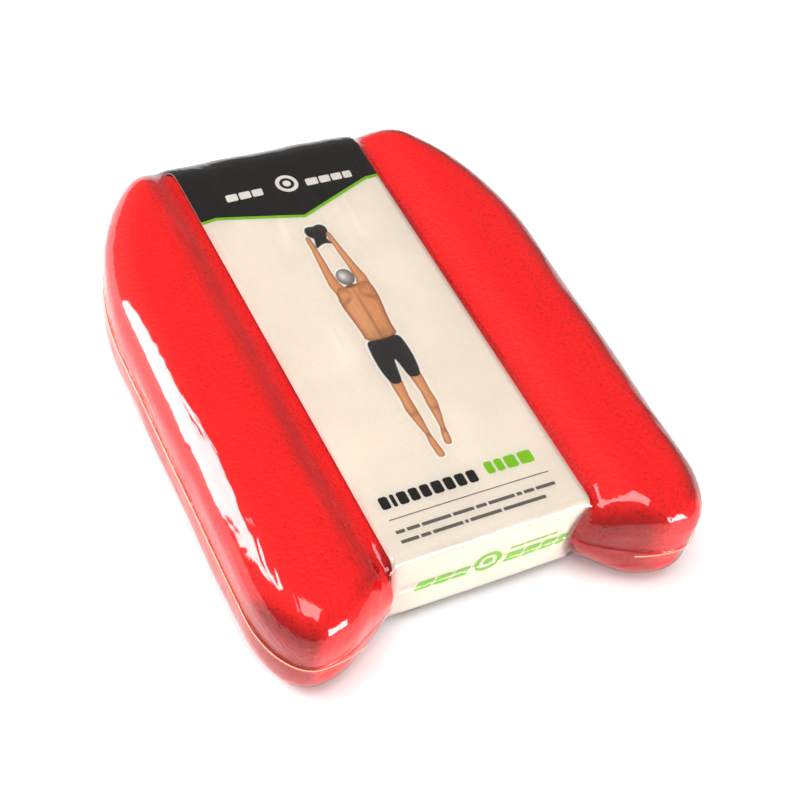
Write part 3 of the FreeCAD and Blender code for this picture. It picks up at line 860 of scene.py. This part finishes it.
def paint_figure(x, y):
    """Ink colour and cover of the picture of a swimmer seen from behind, at points in millimetres."""
    colour = np.tile(np.array(linear(CARD_CREAM)), (*x.shape, 1))
    edge = 0.25

    def lay(ink, depth, strength=1.0):
        nonlocal colour
        share = (smooth_step(-edge, edge, depth) * strength)[..., None]
        colour = colour * (1 - share) + np.asarray(ink) * share

    light, plain, dark = (np.array(linear(c)) for c in (SKIN_LIGHT, SKIN, SKIN_DARK))
    rng = np.random.default_rng(11)
    waves = rng.uniform((-3, -2, 0), (3, 2, 6.28), (7, 3))
    grain = sum(np.sin(x * fx + y * fy + p) for fx, fy, p in waves) / len(waves)

    limbs = {name: limb_depth(x, y, line) for name, line in LIMBS.items()}
    torso = distance_inside(x, y, rounded(TORSO))
    shorts = distance_inside(x, y, rounded(SHORTS))
    held = distance_inside(x, y, rounded(HELD_BOARD))
    head = 1 - np.hypot((x - 2.4) / 4.7, (y - 41.6) / 5.6)
    body = np.maximum.reduce([*(depth for depth, _ in limbs.values()), torso, shorts, held, head * 4.7])
    lay(linear(HALO), body + 0.7)
    cover = smooth_step(-1.4, -0.4, body)

    def skin(depth, side, width):
        round_off = np.clip(depth / width, 0, 1)[..., None]
        base = dark * (1 - round_off) ** 2 + plain * (1 - (1 - round_off) ** 2)
        glow = np.clip(0.55 - 0.6 * np.abs(side + 0.25), 0, 1)[..., None] * round_off
        return base * (1 - glow) + light * glow

    for name in ("leg_left", "leg_right"):
        depth, side = limbs[name]
        ink = skin(depth, side, 1.5) * (1 + 0.10 * grain[..., None])
        calf = soft_spot(x, y, -4.4 if "left" in name else 7.2, -49, 2.4, 1.6)
        ankle = soft_spot(x, y, -3.7 if "left" in name else 4.8, -62.5, 1.6, 1.5)
        lay(ink * (1 - 0.35 * calf - 0.35 * ankle)[..., None], depth)
    side = (x - 2.6) / 10
    back = skin(torso, side * 0.6, 3.0)
    shade = 0.42 * soft_spot(x, y, 2.7, 14, 0.8, 16) + 0.40 * soft_spot(x, y, -3.5, 26, 3.8, 1.2, 0.6)
    shade += 0.40 * soft_spot(x, y, 9.0, 26, 3.8, 1.2, -0.6)
    shade += 0.35 * soft_spot(x, y, -2.6, 33, 3.0, 1.2, -0.5)
    shade += 0.35 * soft_spot(x, y, 8.2, 33.5, 3.0, 1.2, 0.5) + 0.22 * soft_spot(x, y, 2.5, 2, 7, 3)
    shine = 0.5 * soft_spot(x, y, -1.6, 17, 2.6, 8) + 0.5 * soft_spot(x, y, 7.0, 17, 2.8, 8)
    back = back * (1 - 0.5 * shine[..., None]) + light * 0.5 * shine[..., None]
    lay(back * (1 - shade + 0.10 * grain)[..., None], torso)
    for name in ("arm_left", "arm_right"):
        depth, side = limbs[name]
        lay(skin(depth, side, 1.4) * (1 + 0.08 * grain[..., None]), depth)
    lay(back * (1 - shade + 0.10 * grain)[..., None], torso, 0.75)
    lay(dark, torso.clip(max=0) + 1.4 * soft_spot(x, y, 2.2, 35.2, 3.2, 1.4) - 0.6, 0.8)
    cap_light, cap_dark = (np.array(linear(c)) for c in (CAP_LIGHT, CAP_DARK))
    glint = soft_spot(x, y, 1.2, 42.6, 1.8, 2.4)[..., None]
    dome = np.clip(head, 0, 1)[..., None] ** 0.6
    shell = cap_dark * (1 - dome) + 0.5 * cap_light * dome
    lay(shell * (1 - glint) + cap_light * glint, head * 4.7)
    cloth = np.array(linear(CLOTH_BLACK))
    fold = 0.5 * soft_spot(x, y, -5.6, -12, 1.2, 9) + 0.35 * soft_spot(x, y, 9.5, -14, 1.2, 9)
    lay(cloth * (1 + fold)[..., None], shorts)
    lay(cloth * 0.9, held)
    for name in ("arm_left", "arm_right"):
        depth, side = limbs[name]
        lay(skin(depth, side, 1.2), depth - (y < 64) * 9)
    return colour, cover


def make_figure():
    step = 0.4
    xs, ys = np.arange(-12, 17, step), np.arange(-79, 83, step)
    x, y = np.meshgrid(xs, ys, indexing="ij")
    colour, cover = paint_figure(x, y)
    shown = cover > 0.01
    columns, rows = x.shape
    number = np.arange(columns * rows).reshape(columns, rows)
    keep = shown[:-1, :-1] | shown[1:, :-1] | shown[1:, 1:] | shown[:-1, 1:]
    quads = np.stack([number[:-1, :-1], number[1:, :-1], number[1:, 1:], number[:-1, 1:]], -1)[keep]
    used = np.unique(quads)
    renumber = np.full(columns * rows, -1)
    renumber[used] = np.arange(len(used))
    points = STRIP.at(x * MM, STRIP.on_top(y * MM), PRINT_LIFT).reshape(-1, 3)[used]
    picture = new_mesh_object("print_picture", points, renumber[quads], figure_material())
    layer = picture.data.color_attributes.new("ink", "FLOAT_COLOR", "POINT")
    inks = np.column_stack([colour.reshape(-1, 3)[used], np.ones(len(used))])
    layer.data.foreach_set("color", inks.astype(np.float32).ravel())
    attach(picture, "root")


make_figure()

# ------------------------------------------------------------------ shrink film

def film_ripples(points):
    """How far the film stands off at each point, because it is never quite smooth."""
    rng = np.random.default_rng(5)
    total = np.zeros(len(points))
    for size, amount, count in ((45 * MM, 0.22 * MM, 6), (18 * MM, 0.10 * MM, 10), (8 * MM, 0.035 * MM, 14)):
        for _ in range(count):
            direction = rng.normal(size=3)
            direction[1] *= 0.35
            direction *= 2 * math.pi / size / np.linalg.norm(direction)
            total += amount / math.sqrt(count) * np.sin(points @ direction + rng.uniform(0, 2 * math.pi))
    return total


def make_film():
    x, y, z = grid_axes(FILM_STEP)
    foam = as_distance(foam_field(x, y, z), FILM_STEP)
    card = card_field(x, y, z)
    field = smooth_smaller(foam, card, FILM_BRIDGE) - FILM_GAP
    points, quads = surface_net(field, np.array([x[0], y[0], z[0] + PARTING]), FILM_STEP)
    points = relax(points, quads, FILM_ROUNDS)
    points += film_ripples(points)[:, None] * point_normals(points, quads)
    points[:, 2] = np.maximum(points[:, 2], REST_GAP)
    whole = new_mesh_object("film_whole", points, quads, FILM)
    for name, node, upper in (("film_top_sheet", "film_top_web", True),
                              ("film_bottom_sheet", "film_bottom_web", False)):
        half = half_of(whole, name, upper, cap=False)
        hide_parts(node)
        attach(half, "root")
    bpy.data.objects.remove(whole)


make_film()


def make_welds():
    """The heat seal: a thin bead round each side, at mid height."""
    weld = weld_material()
    outline = BOARD[(BOARD[:, 1] < FAR_EDGE - 6 * MM) & (BOARD[:, 0] > HEEL_HALF + 2 * MM)]
    for name, node, side in (("film_weld_right", "film_seal_right", 1),
                             ("film_weld_left", "film_seal_left", -1)):
        ahead = np.gradient(outline, axis=0)
        outward = np.column_stack([-ahead[:, 1], ahead[:, 0]]) / np.linalg.norm(ahead, axis=1)[:, None]
        line = outline + outward * (FILM_GAP + 0.8 * MM)
        curve = bpy.data.curves.new(name, "CURVE")
        curve.dimensions = "3D"
        curve.bevel_depth = 0.3 * MM
        curve.bevel_resolution = 3
        curve.use_fill_caps = True
        spline = curve.splines.new("NURBS")
        spline.points.add(len(line) - 1)
        for point, (px, py) in zip(spline.points, line):
            point.co = (side * px, py, PARTING, 1)
        spline.order_u = 3
        spline.use_endpoint_u = True
        bead = bpy.data.objects.new(name, curve)
        curve.materials.append(weld)
        bpy.context.scene.collection.objects.link(bead)
        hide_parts(node)
        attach(bead, "root")


make_welds()

# ------------------------------------------------------------------ stage, light and camera

def make_floor():
    count, reach = 9, 3.0
    line = np.linspace(-reach, reach, count)
    points = [(a, b, -0.0002) for a in line for b in line]
    faces = [(i * count + j, (i + 1) * count + j, (i + 1) * count + j + 1, i * count + j + 1)
             for i in range(count - 1) for j in range(count - 1)]
    floor = new_mesh_object("floor", points, faces, floor_material())


make_floor()

AZIMUTH = math.radians(38.3)
ELEVATION = math.radians(49.1)
ROLL = math.radians(15.9)
DISTANCE = 0.804
LENS = 73.2


def looking(azimuth, elevation):
    return Vector((math.sin(azimuth) * math.cos(elevation), math.cos(azimuth) * math.cos(elevation),
                   -math.sin(elevation)))


def make_camera():
    aim = (Vector(cad_box[0]) + Vector(cad_box[1])) / 2 + Vector((4.2, -24.2, 0.8)) * MM
    forward = looking(AZIMUTH, ELEVATION)
    right = Vector((math.cos(AZIMUTH), -math.sin(AZIMUTH), 0))
    up = right.cross(forward)
    across = math.cos(ROLL) * right + math.sin(ROLL) * up
    upward = math.cos(ROLL) * up - math.sin(ROLL) * right
    data = bpy.data.cameras.new("camera")
    data.lens = LENS
    data.sensor_width = 36
    data.clip_start, data.clip_end = 0.02, 20
    camera = bpy.data.objects.new("camera", data)
    turn = Matrix((across, upward, -forward)).transposed().to_4x4()
    camera.matrix_world = Matrix.Translation(aim - forward * DISTANCE) @ turn
    bpy.context.scene.collection.objects.link(camera)
    bpy.context.scene.camera = camera


def make_softbox(name, azimuth, elevation, distance, width, height, power):
    """A soft light that far from the board, seen from it in that direction."""
    data = bpy.data.lights.new(name, "AREA")
    data.shape = "RECTANGLE"
    data.size, data.size_y = width, height
    data.energy = power
    light = bpy.data.objects.new(name, data)
    toward = looking(math.radians(azimuth), -math.radians(elevation))
    light.location = toward * distance
    light.rotation_mode = "QUATERNION"
    light.rotation_quaternion = (-toward).to_track_quat("-Z", "Y")
    bpy.context.scene.collection.objects.link(light)


def make_light():
    world = bpy.data.worlds.new("studio")
    world.use_nodes = True
    world.node_tree.nodes["Background"].inputs[0].default_value = (1, 0.98, 0.95, 1)
    world.node_tree.nodes["Background"].inputs[1].default_value = 0.38
    bpy.context.scene.world = world
    make_softbox("softbox_left", -55, 26, 1.6, 0.45, 1.4, 38)
    make_softbox("softbox_front", 155, 14, 1.6, 0.6, 0.5, 18)
    make_softbox("softbox_top", -130, 76, 1.8, 1.1, 1.1, 24)
    bpy.context.scene.view_settings.view_transform = "Standard"


make_camera()
make_light()
